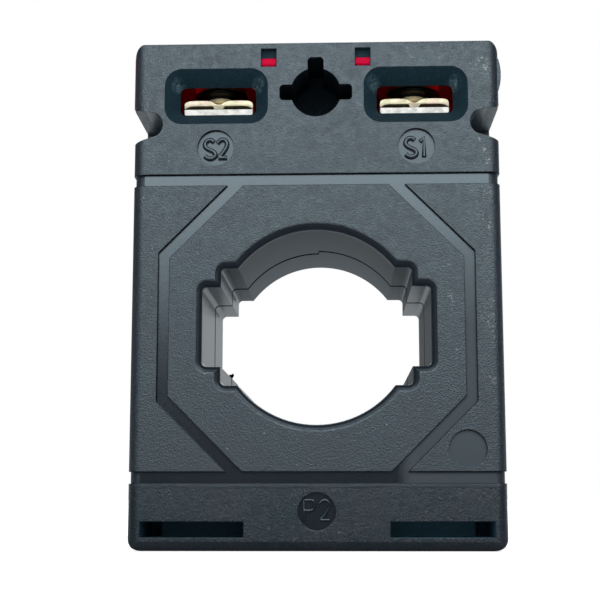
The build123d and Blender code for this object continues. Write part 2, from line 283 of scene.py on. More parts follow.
def spot(x: Wire, z: Wire, centre: Place, half: Place) -> Wire:
    """Distance from the middle of an oval spot on the face, one at its rim.

    Args:
        x: Place across the face.
        z: Place up the face.
        centre: Middle of the spot in millimetres.
        half: Half sizes of the spot in millimetres.

    Returns:
        The distance as a share of the spot's half sizes.
    """
    across = (x - centre[0] * MM) / (half[0] * MM)
    up = (z - centre[1] * MM) / (half[1] * MM)
    return across.reach(up)


@dataclass(frozen=True)
class MouldedCase:
    """Black glass-filled plastic: spark-eroded outside, satin in grooves and recesses."""

    name: str = "moulded_case"
    body: Colour = (0.003, 0.017, 0.024)
    mottle: Colour = (0.022, 0.018, 0.034)
    dust: Colour = (0.55, 0.56, 0.52)
    tint: Colour = (0.72, 0.90, 1.0)
    index: float = 1.9
    flank_x: float = 31.3 * MM
    rim_y: float = 19.1 * MM
    foot_z: float = 1.7 * MM
    floor_y: float = 19.83 * MM
    band_low: float = 25.8 * MM
    band_high: float = 27.9 * MM
    panel_x: float = 26.5 * MM
    corner_x: float = 28.5 * MM
    panel_diagonal: float = 38.98 * MM
    corner_diagonal: float = 41.95 * MM
    bore_reach: float = 34.0 * MM
    mark_offset: float = 28.2 * MM
    bore_half: float = 24.0 * MM
    slot_reach: float = 16.9 * MM
    bare_centre: Place = (26.58 * MM, 17.74 * MM)
    bare_radius: float = 3.5 * MM
    part_y: float = 1.0 * MM
    jog_y: float = 3.5 * MM
    face_fade: Place = (FACE_Y - 0.12 * MM, FACE_Y - 0.04 * MM)
    foot_fade: Place = (11.4 * MM, 10.9 * MM)
    low_groove: Place = (46.0 * MM, 14.0 * MM)
    dull_x: Place = (14.0 * MM, 18.0 * MM)
    dull_z: Place = (56.0 * MM, 40.0 * MM)
    satin: float = 0.34
    arch_extra: float = 0.25
    dull_rough: float = 0.56
    foot_rough: float = 0.25
    disc_rough: float = 0.15
    bare_rough: float = 0.47
    line_weight: float = 0.5
    scuffs: tuple[tuple[float, float, float, float, float], ...] = (
        (30.5, 88.6, 1.1, 0.8, 1.0), (31.1, 87.2, 0.6, 1.2, 0.9), (29.2, 88.0, 1.1, 0.5, 0.6),
        (29.6, 73.6, 0.6, 0.5, 0.8), (30.7, 71.9, 0.8, 0.9, 0.8), (31.1, 69.8, 0.6, 1.2, 1.0),
        (23.5, 51.3, 0.7, 1.6, 0.5), (23.9, 44.0, 0.6, 2.2, 0.5), (31.2, 57.6, 0.5, 2.0, 0.6),
        (31.3, 38.6, 0.4, 3.0, 0.5), (-30.6, 89.3, 1.2, 0.5, 0.4), (-31.6, 62.8, 0.5, 2.0, 0.4))

    def build(self) -> Material:
        """Make the material.

        Returns:
            The finished material.
        """
        graph = Graph.material(self.name)
        vector, x, y, z = graph.place()
        across, depth, up = abs(x), abs(y), abs(z - AXIS_Z)
        at_bore = ((across + up) < self.bore_reach) * (across.larger(up) < self.bore_half)
        face = depth.fade(*self.face_fade)
        textured = face.larger(across > self.flank_x).larger(z < self.foot_z)
        smooth = 1 - textured
        groove = abs(depth - self.floor_y).fade(0.14 * MM, 0.08 * MM) * (1 - at_bore) * smooth * (
            up < self.mark_offset)
        arch = at_bore * (across < self.slot_reach) * (1 - (depth > self.rim_y) * at_bore)
        foot = z.fade(*self.foot_fade)
        cloud = graph.noise(vector, 90.0, 6.0, 0.7).fade(0.36, 0.64)
        mottle = graph.noise(vector, 900.0, 5.0, 0.7).fade(0.32, 0.68)
        colour = graph.blend(cloud * 0.5 + mottle * 0.5, self.body, self.mottle)
        colour = graph.blend(self._dust(graph, vector, x, z) * face, colour, self.dust)
        rough = self.satin + textured * (mottle * 0.20 + cloud * 0.06 - 0.02) - groove * (
            0.11 + z.fade(*self.low_groove) * 0.07) + arch * self.arch_extra
        rough = rough.towards(groove * x.fade(*self.dull_x) * z.fade(*self.dull_z), self.dull_rough)
        rough = rough.towards(foot, mottle * 0.04 + self.foot_rough)
        rough = rough.towards(foot * smooth, self.disc_rough)
        rough = rough.towards(self._bare(x, y, z) * (1 - face), self.bare_rough)
        height = self._relief(graph, vector) * textured + graph.noise(vector, 700.0, 2.0) * 0.10
        height = height * (1 - foot * 0.40)
        # Painted shade: dark lines along the groove edges on both faces, joined with the shells' joint
        # line.
        line = self._edges(across, up) * (depth > self.rim_y)
        joint_and_shade = (line * self.line_weight).larger(self._seam(x, y, at_bore))
        return graph.finish({
            "Base Color": colour, "Roughness": rough, "IOR": self.index, "Specular IOR Level": 1.0,
            "Specular Tint": self.tint, "Normal": graph.bump(height, 0.07 * MM, 1.0, 0.14 * MM)}, joint_and_shade)

    @staticmethod
    def _relief(graph: Graph, vector: Wire) -> Wire:
        """Height of the spark-eroded texture.

        Args:
            graph: Tree of the material.
            vector: Coordinates.

        Returns:
            The height.
        """
        grain = graph.noise(vector, GRAIN_SCALE, 3.0, 0.6)
        leather = graph.cells(vector, 3000.0)
        coarse = graph.noise(vector, 1500.0, 2.0)
        return grain * 0.8 + leather * 0.4 + coarse * 0.4

    def _bare(self, x: Wire, y: Wire, z: Wire) -> Wire:
        """Mask of the bare disc in the lower right corner of the front."""
        aside, above = x - self.bare_centre[0], z - self.bare_centre[1]
        return (aside.reach(above) < self.bare_radius) * (y < 0.0)

    def _edges(self, across: Wire, up: Wire) -> Wire:
        """Painted shade: a thin dark line where the raised fields meet the grooves, for the shadow at
        the foot of the groove walls.

        Args:
            across: Distance from the middle plane.
            up: Distance from the aperture's axis.

        Returns:
            Mask of the painted shade line.
        """
        sloped = (across + up) / math.sqrt(2)
        panel = (across - self.panel_x).larger(up - self.band_low).larger(
            sloped - self.panel_diagonal / math.sqrt(2))
        corner = (self.corner_x - across).smaller(self.corner_diagonal / math.sqrt(2) - sloped).larger(
            up - self.band_low)
        nearest = abs(panel).smaller(abs(corner)).smaller(abs(up - self.band_high))
        return nearest.fade(0.13 * MM, 0.05 * MM)

    def _seam(self, x: Wire, y: Wire, at_bore: Wire) -> Wire:
        """Hairline where the two shells meet, staggered inside the aperture and widened there into
        painted shade on the ledges.

        Args:
            x: Place across the case.
            y: Place along the aperture.
            at_bore: Mask of the aperture's walls.

        Returns:
            Mask of the hairline and of its painted shade.
        """
        stepped = at_bore * (x < 0.0)
        # The joint is 0.12 mm wide; inside the aperture it is widened to 1.2 mm as painted shade on
        # the ledges.
        width = 0.06 * MM + at_bore * 0.54 * MM
        plain = (abs(y - self.part_y) < width) * (1 - stepped)
        jogged = (abs(y - self.jog_y) < width) * stepped
        step = abs(x).fade(0.08 * MM, 0.03 * MM) * at_bore * (y > self.part_y) * (y < self.jog_y)
        return plain.larger(jogged).larger(step)

    def _dust(self, graph: Graph, vector: Wire, x: Wire, z: Wire) -> Wire:
        """Handling dust: a thin scatter and the scuffed places near the right edge.

        Args:
            graph: Tree of the material.
            vector: Coordinates.
            x: Place across the case.
            z: Height.

        Returns:
            Mask of the dust.
        """
        dots = graph.cells(vector, 1900.0).fade(0.46, 0.22)
        scatter = graph.cells(vector, 330.0).fade(0.08, 0.04)
        cloud = graph.noise(vector, 900.0, 4.0, 0.7).fade(0.42, 0.60)
        thick = x.fade(26.0 * MM, 33.0 * MM) * graph.noise(vector, 160.0, 3.0).fade(0.48, 0.66) * 0.5
        for at_x, at_z, half_x, half_z, weight in self.scuffs:
            near = spot(x, z, (at_x, at_z), (half_x, half_z)).fade(1.1, 0.5)
            thick = thick.larger(near * weight)
        return (dots * (0.35 + cloud * 0.65) * thick).larger(scatter * 0.25)


@dataclass(frozen=True)
class RecessPlastic:
    """The case plastic where it is matt: window flares, pockets and foot slots, with painted light in
    the foot slots, painted shade in the keyhole pocket and a painted sheen at the flares' upper
    corners.
    """

    name: str = "recess_plastic"
    body: Colour = (0.007, 0.040, 0.062)
    sheen: Colour = (0.040, 0.080, 0.105)
    # Painted light: the lighter colour of the foot slots' walls.
    foot: Colour = (0.06, 0.17, 0.24)
    # Painted shade: the darker colour of the keyhole pocket.
    pocket: Colour = (0.001, 0.010, 0.018)
    # Colour of the pale specks on the flares and of the painted sheen at their upper corners.
    scuff: Colour = (0.16, 0.27, 0.32)
    corners: tuple[Place, ...] = ((10.7, 84.9), (25.5, 84.9))
    corner_half: Place = (1.5, 1.7)
    keyhole_x: float = 7.1 * MM
    keyhole_z: float = 70.0 * MM
    flare_z: float = 80.0 * MM

    def build(self) -> Material:
        """Make the material.

        Returns:
            The finished material.
        """
        graph = Graph.material(self.name)
        vector, x, _, z = graph.place()
        grain = graph.noise(vector, GRAIN_SCALE, 3.0, 0.6)
        fleck = graph.noise(vector, 2600.0, 3.0, 0.7).fade(0.56, 0.72)
        colour = graph.blend(fleck, self.body, self.sheen)
        # Painted light: the foot slots are painted lighter, more towards the right.
        low = z.fade(8.0 * MM, 6.0 * MM) * (0.4 + x.fade(-5.0 * MM, 5.0 * MM) * 0.6)
        colour = graph.blend(low, colour, self.foot)
        # Painted shade: the keyhole pocket is painted darker.
        keyhole_shade = (abs(x) < self.keyhole_x) * (z > self.keyhole_z)
        colour = graph.blend(keyhole_shade * 0.8, colour, self.pocket)
        # Pale specks on the upper flares, then painted sheen: streaky lighter patches at the flares'
        # upper corners.
        speck_sheen_mask = graph.cells(vector, 1500.0).fade(0.13, 0.06) * (z > self.flare_z) * 0.5
        sheen_streak = graph.noise(vector, 1300.0, 4.0, 0.7).fade(0.40, 0.66)
        for corner in self.corners:
            speck_sheen_mask = speck_sheen_mask.larger(spot(abs(x), z, corner, self.corner_half).fade(1.0, 0.1) * sheen_streak)
        return graph.finish({
            "Base Color": graph.blend(speck_sheen_mask, colour, self.scuff),
            "Roughness": fleck * 0.10 + 0.75, "Specular IOR Level": 0.4,
            "Normal": graph.bump(grain, 0.08 * MM, 1.0, 0.14 * MM)})


@dataclass(frozen=True)
class CoverPlastic:
    """Smooth signal-red moulded plastic."""

    name: str = "cover_plastic"
    body: Colour = (0.96, 0.003, 0.055)
    deep: Colour = (0.84, 0.002, 0.045)
    glint: Colour = (1.0, 0.06, 0.09)

    def build(self) -> Material:
        """Make the material.

        Returns:
            The finished material.
        """
        graph = Graph.material(self.name)
        vector, _, _, _ = graph.place()
        cloud = graph.noise(vector, 60.0, 4.0)
        flow = graph.noise(graph.stretched(vector, (1.0, 0.12, 1.0)), 520.0, 3.0)
        return graph.finish({
            "Base Color": graph.blend(cloud, self.deep, self.body),
            "Roughness": cloud * 0.10 + 0.24,
            "Normal": graph.bump(flow, 0.03 * MM, 0.25, 0.18 * MM),
            "Specular IOR Level": 0.7, "Specular Tint": self.glint,
            "Subsurface Weight": 0.6, "Subsurface Radius": (6.0 * MM, 0.5 * MM, 4.0 * MM),
            "Subsurface Scale": 1.0})


@dataclass(frozen=True)
class PlatedMetal:
    """Plated sheet or turned metal with rolling lines, stains and dulled patches, and where asked a
    band of painted shade.
    """

    name: str
    bright: Colour
    dull: Colour
    rough: float
    lines: Point = (1.0, 0.06, 1.0)
    film: Colour | None = None
    film_scale: float = 420.0
    grime: Place | None = None
    soot: Colour = (0.02, 0.02, 0.02)
    metal: float = 1.0

    def build(self) -> Material:
        """Make the material.

        Returns:
            The finished material.
        """
        graph = Graph.material(self.name)
        vector, _, _, z = graph.place()
        stain = graph.noise(vector, 700.0, 5.0, 0.65).fade(0.42, 0.66)
        rolled = graph.noise(graph.stretched(vector, self.lines), 3200.0, 3.0)
        colour = graph.blend(stain, self.bright, self.dull)
        if self.film:
            patches = graph.noise(vector, self.film_scale, 2.0).fade(0.44, 0.62)
            colour = graph.blend(patches * 0.7, colour, self.film)
        # Painted shade: a height band painted near black, for the shade under the screw head.
        if self.grime:
            low, high = self.grime
            colour = graph.blend((z > low) * (z < high), colour, self.soot)
        return graph.finish({
            "Base Color": colour, "Metallic": self.metal,
            "Roughness": stain * 0.14 + rolled * 0.10 + self.rough,
            "Normal": graph.bump(rolled, 0.02 * MM, 0.35, 0.08 * MM)})


@dataclass(frozen=True)
class CoreStrip:
    """Edge-on laminations of a wound steel strip."""

    name: str = "core_strip"
    light: Colour = (0.46, 0.47, 0.50)
    dark: Colour = (0.16, 0.17, 0.19)
    strip: float = 0.3 * MM

    def build(self) -> Material:
        """Make the material.

        Returns:
            The finished material.
        """
        graph = Graph.material(self.name)
        vector, x, _, z = graph.place()
        radius = x.reach(z - AXIS_Z)
        bands = (radius * (2 * math.pi / self.strip)).wave() * 0.5 + 0.5
        tint = graph.noise(vector, 380.0, 4.0)
        return graph.finish({
            "Base Color": graph.blend(bands * 0.6 + tint * 0.4, self.dark, self.light),
            "Metallic": 1.0, "Roughness": tint * 0.15 + 0.36,
            "Normal": graph.bump(bands, 0.03 * MM, 0.4)})


@dataclass(frozen=True)
class WoundWire:
    """Enamelled wire laid side by side round the ring."""

    name: str = "wound_wire"
    bright: Colour = (0.62, 0.24, 0.09)
    dark: Colour = (0.20, 0.06, 0.02)
    turns: int = 220

    def build(self) -> Material:
        """Make the material.

        Returns:
            The finished material.
        """
        graph = Graph.material(self.name)
        vector, x, _, z = graph.place()
        angle = graph.out(graph.add("ShaderNodeMath", {"operation": "ARCTAN2"},
                                    {0: z - AXIS_Z, 1: x}))
        ridge = (angle * self.turns).wave() * 0.5 + 0.5
        tone = graph.noise(vector, 210.0, 3.0)
        return graph.finish({
            "Base Color": graph.blend(ridge * 0.7 + tone * 0.3, self.dark, self.bright),
            "Metallic": 0.85, "Roughness": tone * 0.10 + 0.24, "Coat Weight": 0.6,
            "Normal": graph.bump(ridge, 0.12 * MM, 0.8)})


@dataclass(frozen=True)
class QuietPlastic:
    """Plain moulded or film insulation inside the case."""

    name: str
    body: Colour
    shade: Colour
    rough: float
    weave: float

    def build(self) -> Material:
        """Make the material.

        Returns:
            The finished material.
        """
        graph = Graph.material(self.name)
        vector, _, _, _ = graph.place()
        cloud = graph.noise(vector, 140.0, 4.0)
        return graph.finish({
            "Base Color": graph.blend(cloud, self.shade, self.body),
            "Roughness": cloud * 0.15 + self.rough,
            "Normal": graph.bump(graph.noise(vector, self.weave, 3.0), 0.04 * MM, 0.4)})


class Finishes:
    """Every finish of the object, made once and shared by the pieces that wear it."""

    def __init__(self) -> None:
        """Make every finish."""
        self.case = MouldedCase().build()
        self.recess = RecessPlastic().build()
        self.cover = CoverPlastic().build()
        self.tin = PlatedMetal("bright_tin", (0.90, 0.91, 0.88), (0.74, 0.75, 0.70), 0.34).build()
        self.zinc = PlatedMetal("nut_zinc", (0.74, 0.75, 0.77), (0.50, 0.51, 0.53), 0.30).build()
        self.saddle = PlatedMetal("saddle_zinc", (0.86, 0.86, 0.60), (0.80, 0.74, 0.52), 0.30,
                                  film=(0.88, 0.70, 0.62)).build()
        self.screw = PlatedMetal("screw_zinc", (0.97, 0.80, 0.42), (0.80, 0.56, 0.28), 0.30,
                                 lines=TURNED_LINES, film=(0.80, 0.56, 0.36),
                                 grime=SCREW_SHADE_BAND).build()
        # Painted light: the neck gets a lighter, barely metallic copy of the screw's zinc, so that it
        # reads bright under the head.
        self.neck = PlatedMetal("neck_zinc", (1.0, 0.88, 0.55), (0.98, 0.76, 0.46), 0.34,
                                lines=TURNED_LINES, grime=SCREW_SHADE_BAND, metal=0.2).build()
        self.core = CoreStrip().build()
        self.wire = WoundWire().build()
        self.cap = QuietPlastic("core_cap_plastic", (0.72, 0.70, 0.62), (0.60, 0.57, 0.48),
                                0.42, 900.0).build()
        self.film = QuietPlastic("wrap_film", (0.80, 0.62, 0.20), (0.66, 0.48, 0.12),
                                 0.26, 1600.0).build()


def wear(node: str, material: Material) -> None:
    """Give a CAD node one finish all over."""
    Bench.dress(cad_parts[node], material)
    log.info("dressed %s in %s", node, material.name)


class Bench:
    """Modelling operations that act on one new piece at a time."""

    @staticmethod
    def mode(name: str) -> None:
        """Enter object mode or edit mode."""
        bpy.ops.object.mode_set(mode=name)

    @staticmethod
    def clear() -> None:
        """Leave nothing selected, so that an operator acts on the new piece alone."""
        if bpy.context.object and bpy.context.object.mode != "OBJECT":
            Bench.mode("OBJECT")
        bpy.ops.object.select_all(action="DESELECT")
        bpy.context.view_layer.objects.active = None

    @staticmethod
    def take(*pieces: Object) -> None:
        """Select these pieces alone and make the first one active.

        Args:
            pieces: Pieces to work on.
        """
        Bench.clear()
        for piece in pieces:
            piece.select_set(True)
        bpy.context.view_layer.objects.active = pieces[0]

    @staticmethod
    def new(name: str) -> Object:
        """Name the primitive that was just added and put its place in its mesh.

        Args:
            name: Name of the new piece.

        Returns:
            The new piece.
        """
        piece = bpy.context.view_layer.objects.active
        piece.name = name
        bpy.ops.object.transform_apply(location=True, rotation=True, scale=True)
        return piece

    @staticmethod
    def modify(piece: Object, kind: str, settings: dict) -> None:
        """Add one modifier and apply it.

        Args:
            piece: Piece to change.
            kind: Type of the modifier.
            settings: Properties of the modifier.
        """
        Bench.take(piece)
        modifier = piece.modifiers.new(kind.lower(), kind)
        for name, value in settings.items():
            setattr(modifier, name, value)
        bpy.ops.object.modifier_apply(modifier=modifier.name)

    @staticmethod
    def pick(piece: Object, kind: str, wanted: Callable[..., bool]) -> None:
        """Select the elements that a test wants and stay in edit mode.

        Args:
            piece: Piece to edit.
            kind: "VERT", "EDGE" or "FACE".
            wanted: Test of one element of the mesh.
        """
        Bench.take(piece)
        Bench.mode("EDIT")
        bpy.ops.mesh.select_mode(type=kind)
        bpy.ops.mesh.select_all(action="DESELECT")
        Bench.mode("OBJECT")
        mesh = piece.data
        for element in {"VERT": mesh.vertices, "EDGE": mesh.edges, "FACE": mesh.polygons}[kind]:
            element.select = wanted(element)
        Bench.mode("EDIT")

    @staticmethod
    def move_points(piece: Object, places: list[Vector]) -> None:
        """Move each vertex to its place in edit mode.

        Args:
            piece: Piece to change.
            places: New place of each vertex, in order.
        """
        for index, place in enumerate(places):
            shift = place - piece.data.vertices[index].co
            Bench.pick(piece, "VERT", lambda vertex: vertex.index == index)
            bpy.ops.transform.translate(value=shift)
            Bench.mode("OBJECT")

    @staticmethod
    def prism(name: str, outline: list[Place], near: float, far: float) -> Object:
        """Front outline carried from one depth to another.

        Args:
            name: Name of the new piece.
            outline: Corners as x and z, in order round the outline.
            near: Depth of the front face.
            far: Depth of the rear face.

        Returns:
            The closed piece.
        """
        Bench.clear()
        bpy.ops.mesh.primitive_circle_add(vertices=len(outline), radius=MM, fill_type="NGON")
        piece = Bench.new(name)
        Bench.move_points(piece, [Vector((x, near, z)) for x, z in outline])
        Bench.take(piece)
        Bench.mode("EDIT")
        bpy.ops.mesh.select_all(action="SELECT")
        bpy.ops.mesh.extrude_region_move(TRANSFORM_OT_translate={"value": (0.0, far - near, 0.0)})
        bpy.ops.mesh.select_all(action="SELECT")
        bpy.ops.mesh.normals_make_consistent(inside=False)
        Bench.mode("OBJECT")
        return piece

    @staticmethod
    def post(name: str, radius: float, place: Place, low: float, high: float,
             sides: int = 64) -> Object:
        """Upright round bar between two heights.

        Args:
            name: Name of the new piece.
            radius: Radius of the bar.
            place: Axis as x and y.
            low: Height of the lower end.
            high: Height of the upper end.
            sides: Faces round the bar.

        Returns:
            The closed piece.
        """
        Bench.clear()
        bpy.ops.mesh.primitive_cylinder_add(
            vertices=sides, radius=radius, depth=high - low, location=(*place, (low + high) / 2))
        return Bench.new(name)

    @staticmethod
    def cut(piece: Object, tool: Object) -> None:
        """Take one piece out of another and throw the tool away."""
        Bench.modify(piece, "BOOLEAN", {"operation": "DIFFERENCE", "object": tool, "solver": "EXACT"})
        bpy.data.objects.remove(tool)

    @staticmethod
    def join(pieces: list[Object]) -> Object:
        """Join pieces into the first one.

        Args:
            pieces: Pieces to join.

        Returns:
            The first piece.
        """
        Bench.take(*pieces)
        bpy.ops.object.join()
        return pieces[0]

    @staticmethod
    def smooth(piece: Object, degrees: float = 40.0) -> None:
        """Shade smooth where faces meet at less than an angle."""
        Bench.take(piece)
        bpy.ops.object.shade_smooth_by_angle(angle=math.radians(degrees))

    @staticmethod
    def dress(piece: Object, material: Material) -> None:
        """Give a piece one finish all over."""
        piece.data.materials.clear()
        piece.data.materials.append(material)


@dataclass
class MarkStroke:
    """One raised stroke of a terminal mark, as shares of the letter height."""

    points: list[Place]
    smooth: bool = True


LETTERS: dict[str, tuple[float, list[MarkStroke]]] = {
    "S": (0.56, [MarkStroke([
        (0.465, 0.876), (0.388, 0.953), (0.264, 0.992), (0.124, 0.946), (0.031, 0.829),
        (0.008, 0.705), (0.078, 0.581), (0.248, 0.473), (0.434, 0.380), (0.550, 0.256),
        (0.550, 0.147), (0.465, 0.054), (0.310, 0.0), (0.140, 0.039), (0.008, 0.147)])]),
    "2": (0.51, [MarkStroke([
        (0.008, 0.814), (0.100, 0.922), (0.240, 1.0), (0.395, 0.969), (0.488, 0.829),
        (0.488, 0.659), (0.410, 0.488), (0.287, 0.302), (0.085, 0.070)]),
                 MarkStroke([(0.060, 0.040), (0.510, 0.040)], False)]),
    "1": (0.19, [MarkStroke([(0.0, 0.80), (0.19, 1.0), (0.19, 0.0)], False)]),
    "P": (0.49, [MarkStroke([(0.0, 0.0), (0.0, 1.0), (0.34, 1.0)], False),
                 MarkStroke([(0.34, 1.0), (0.45, 0.95), (0.49, 0.75), (0.44, 0.55), (0.32, 0.50)]),
                 MarkStroke([(0.32, 0.50), (0.0, 0.50)], False)]),
}


@dataclass
class TerminalMark:
    """A two-letter terminal mark of raised, rounded strokes in its sunk disc."""

    text: str
    centre: Place
    spacing: float
    height: float = 3.55 * MM
    stroke_radius: float = 0.45 * MM
    face_y: float = -FACE_Y
    sink: float = 0.60 * MM
    rim_steps: int = 5
    path_steps: int = 6

    def build(self, material: Material) -> Object:
        """Sweep the strokes and join them into one mesh.

        Args:
            material: Finish of the case.

        Returns:
            The finished mark.
        """
        facing = -1 if self.face_y < 0 else 1
        widths = [LETTERS[letter][0] for letter in self.text]
        total = sum(widths) + self.spacing * (len(self.text) - 1)
        along = -total / 2
        strokes = []
        for letter, width in zip(self.text, widths):
            for stroke in LETTERS[letter][1]:
                strokes.append(self._sweep(stroke, along, facing))
            along += width + self.spacing
        Bench.take(*strokes)
        bpy.ops.object.convert(target="MESH")
        bpy.ops.object.join()
        mark = bpy.context.view_layer.objects.active
        mark.name = f"mark_{self.text.lower()}"
        bpy.ops.object.shade_smooth()
        Bench.dress(mark, material)
        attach(mark, "case")
        log.info("raised mark %s", self.text)
        return mark

    def _sweep(self, stroke: MarkStroke, along: float, facing: int) -> Object:
        """Sweep one stroke as a round ridge with ball ends.

        Args:
            stroke: Stroke to sweep.
            along: Start of its letter, as a share of the height.
            facing: -1 on the front and 1 on the rear.

        Returns:
            The swept curve.
        """
        curve = bpy.data.curves.new(f"stroke_{self.text}", "CURVE")
        curve.dimensions = "3D"
        curve.bevel_depth = self.stroke_radius
        curve.bevel_resolution = self.rim_steps
        curve.use_fill_caps = True
        curve.resolution_u = self.path_steps
        spline = curve.splines.new("BEZIER" if stroke.smooth else "POLY")
        points = spline.bezier_points if stroke.smooth else spline.points
        points.add(len(stroke.points) - 1)
        depth = self.face_y - facing * self.sink
        for point, (across, up) in zip(points, stroke.points):
            place = Vector((self.centre[0] - facing * (along + across) * self.height, depth,
                            self.centre[1] + (up - 0.5) * self.height))
            if stroke.smooth:
                point.co = place
                point.handle_left_type = "AUTO"
                point.handle_right_type = "AUTO"
            else:
                point.co = (*place, 1.0)
        piece = bpy.data.objects.new(f"stroke_{self.text}", curve)
        bpy.context.scene.collection.objects.link(piece)
        return piece


@dataclass
class CaseHalves:
    """The two moulded shells, their raised marks and a drop of moulding flash.

    The recesses' boxes, the dark block that stands in for shade in the latch slot and the flash's
    lobes (place, half sizes) are in millimetres.
    """

    disc_z: float = 72.3 * MM
    foot_disc_z: float = 7.05 * MM
    s1_shift: float = 0.3 * MM
    recess_y: float = 20.42
    recesses: tuple[tuple[Place, Place], ...] = (
        ((7.2, 76.2), (29.5, 89.5)), ((-1.0, 75.9), (7.1, 91.0)),
        ((12.0, 2.2), (31.2, 5.3)), ((7.15, 89.5), (10.2, 91.3)))
    lintel: tuple[Point, Point] = ((7.2, -19.4, 89.68), (10.11, -18.75, 91.25))
    lobes: tuple[tuple[Point, Point], ...] = (
        ((-17.42, 3.5, 32.86), (0.34, 0.16, 0.30)), ((-16.98, 3.5, 32.98), (0.26, 0.15, 0.36)),
        ((-17.16, 3.5, 32.62), (0.24, 0.14, 0.34)), ((-17.12, 3.5, 31.80), (0.07, 0.07, 0.85)))

    def build(self, finishes: Finishes) -> None:
        """Dress the shells, raise the marks, leave the flash and close the latch slots with dark
        blocks, which stand in for the shade above the covers' tabs.

        Args:
            finishes: Finishes of the object.
        """
        for node in ("front_shell", "rear_shell"):
            wear(node, finishes.case)
            self._shade_recesses(node, finishes.recess)
        TerminalMark("S1", (TERMINAL_X - self.s1_shift, self.disc_z), 0.20).build(finishes.case)
        TerminalMark("S2", (-TERMINAL_X, self.disc_z), 0.09).build(finishes.case)
        for text, face_y in (("P2", -FACE_Y), ("P1", FACE_Y)):
            TerminalMark(text, (0.0, self.foot_disc_z), 0.24, 3.6 * MM, 0.24 * MM, face_y,
                         0.53 * MM).build(finishes.case)
        self._flash(finishes.case)
        for side in Side:
            self._lintel(side, finishes.recess)

    def _shade_recesses(self, node: str, material: Material) -> None:
        """Give the faces inside the pockets, flares and foot slots the matt finish.

        Args:
            node: Shell to shade.
            material: Matt finish.
        """
        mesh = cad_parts[node].data
        mesh.materials.append(material)
        count = 0
        for face in mesh.polygons:
            x, y, z = (abs(value) / MM for value in face.center)
            inside = any(low[0] < x < high[0] and y < self.recess_y and low[1] < z < high[1]
                         for low, high in self.recesses)
            if inside:
                face.material_index = 1
                count += 1
        log.info("shaded %d faces of %s", count, node)

    def _flash(self, material: Material) -> None:
        """Leave a heart-shaped burr on its thin root, on the seam in the aperture.

        Args:
            material: Finish of the case.
        """
        lobes = []
        for place, size in self.lobes:
            Bench.clear()
            bpy.ops.mesh.primitive_uv_sphere_add(
                segments=20, ring_count=12, radius=1.0, location=Vector(place) * MM,
                scale=Vector(size) * MM)
            lobes.append(Bench.new("seam_flash"))
        flash = Bench.join(lobes)
        Bench.modify(flash, "REMESH", {"mode": "VOXEL", "voxel_size": 0.035 * MM})
        Bench.modify(flash, "SMOOTH", {"factor": 0.5, "iterations": 6})
        Bench.smooth(flash, 80.0)
        Bench.dress(flash, material)
        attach(flash, "case")
        log.info("left the seam flash")

    def _lintel(self, side: Side, material: Material) -> None:
        """Close the latch slot above the cover's tab, a little behind the face, with a dark block that
        stands in for the shade there.

        Args:
            side: Terminal of the slot.
            material: Matt finish.
        """
        low, high = (Vector(corner) for corner in self.lintel)
        middle, size = (low + high) / 2, high - low
        Bench.clear()
        bpy.ops.mesh.primitive_cube_add(
            size=1.0, scale=size * MM,
            location=(side.value * middle.x * MM, middle.y * MM, middle.z * MM))
        block = Bench.new(f"{side.prefix}_latch_lintel")
        Bench.dress(block, material)
        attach(block, "case")
        log.info("closed the latch slot of %s", side.name)


class RingPack:
    """Core, caps, winding and wraps hidden in the case."""

    def build(self, finishes: Finishes) -> None:
        """Dress the ring from the core outwards.

        Args:
            finishes: Finishes of the object.
        """
        wear("ring_core", finishes.core)
        for end in ("front", "rear"):
            wear(f"core_cap_{end}", finishes.cap)
            wear(f"winding_ring_{end}", finishes.film)
        wear("winding_band", finishes.film)
        wear("secondary_winding", finishes.wire)


@dataclass
class SaddleClamp:
    """Coined sheet clamp: two wings with turned-down ends and a dip between them.

    The section is the right half of the outline, in millimetres across and up from the foot.
    """

    side: Side
    half_length: float = 5.1 * MM
    foot_z: float = 81.15 * MM
    hole: float = 2.56 * MM
    edge: float = 0.10 * MM
    section: tuple[Place, ...] = (
        (0.62, 0.02), (0.84, 0.16), (0.98, 0.45), (1.10, 0.66), (1.5, 0.68), (4.6, 0.70), (5.35, 0.62),
        (5.95, 0.36), (6.28, 0.12), (6.42, 0.20), (6.42, 0.95), (6.30, 1.30), (5.95, 1.56),
        (5.40, 1.70), (4.2, 1.76), (3.0, 1.76), (1.9, 1.70), (1.35, 1.58), (0.90, 1.32),
        (0.50, 1.06), (0.22, 0.98))

    def build(self, material: Material) -> Object:
        """Carry the section through, pierce it and round its edges.

        Args:
            material: Finish of the clamp.

        Returns:
            The finished clamp.
        """
        ring = [*self.section, *((-x, z) for x, z in reversed(self.section))]
        centre, axis_y = self.side.axis
        outline = [(centre + x * MM, self.foot_z + z * MM) for x, z in ring]
        piece = Bench.prism(f"{self.side.prefix}_saddle_sheet", outline,
                            axis_y - self.half_length, axis_y + self.half_length)
        Bench.cut(piece, Bench.post("saddle_punch", self.hole, self.side.axis,
                                    self.foot_z - MM, self.foot_z + 3 * MM))
        Bench.modify(piece, "BEVEL", {"width": self.edge, "segments": 3, "limit_method": "ANGLE",
                                      "angle_limit": math.radians(50.0)})
        Bench.smooth(piece)
        Bench.dress(piece, material)
        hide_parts(f"{self.side.prefix}_saddle")
        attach(piece, f"{self.side.prefix}_clamp")
        log.info("formed %s", piece.name)
        return piece


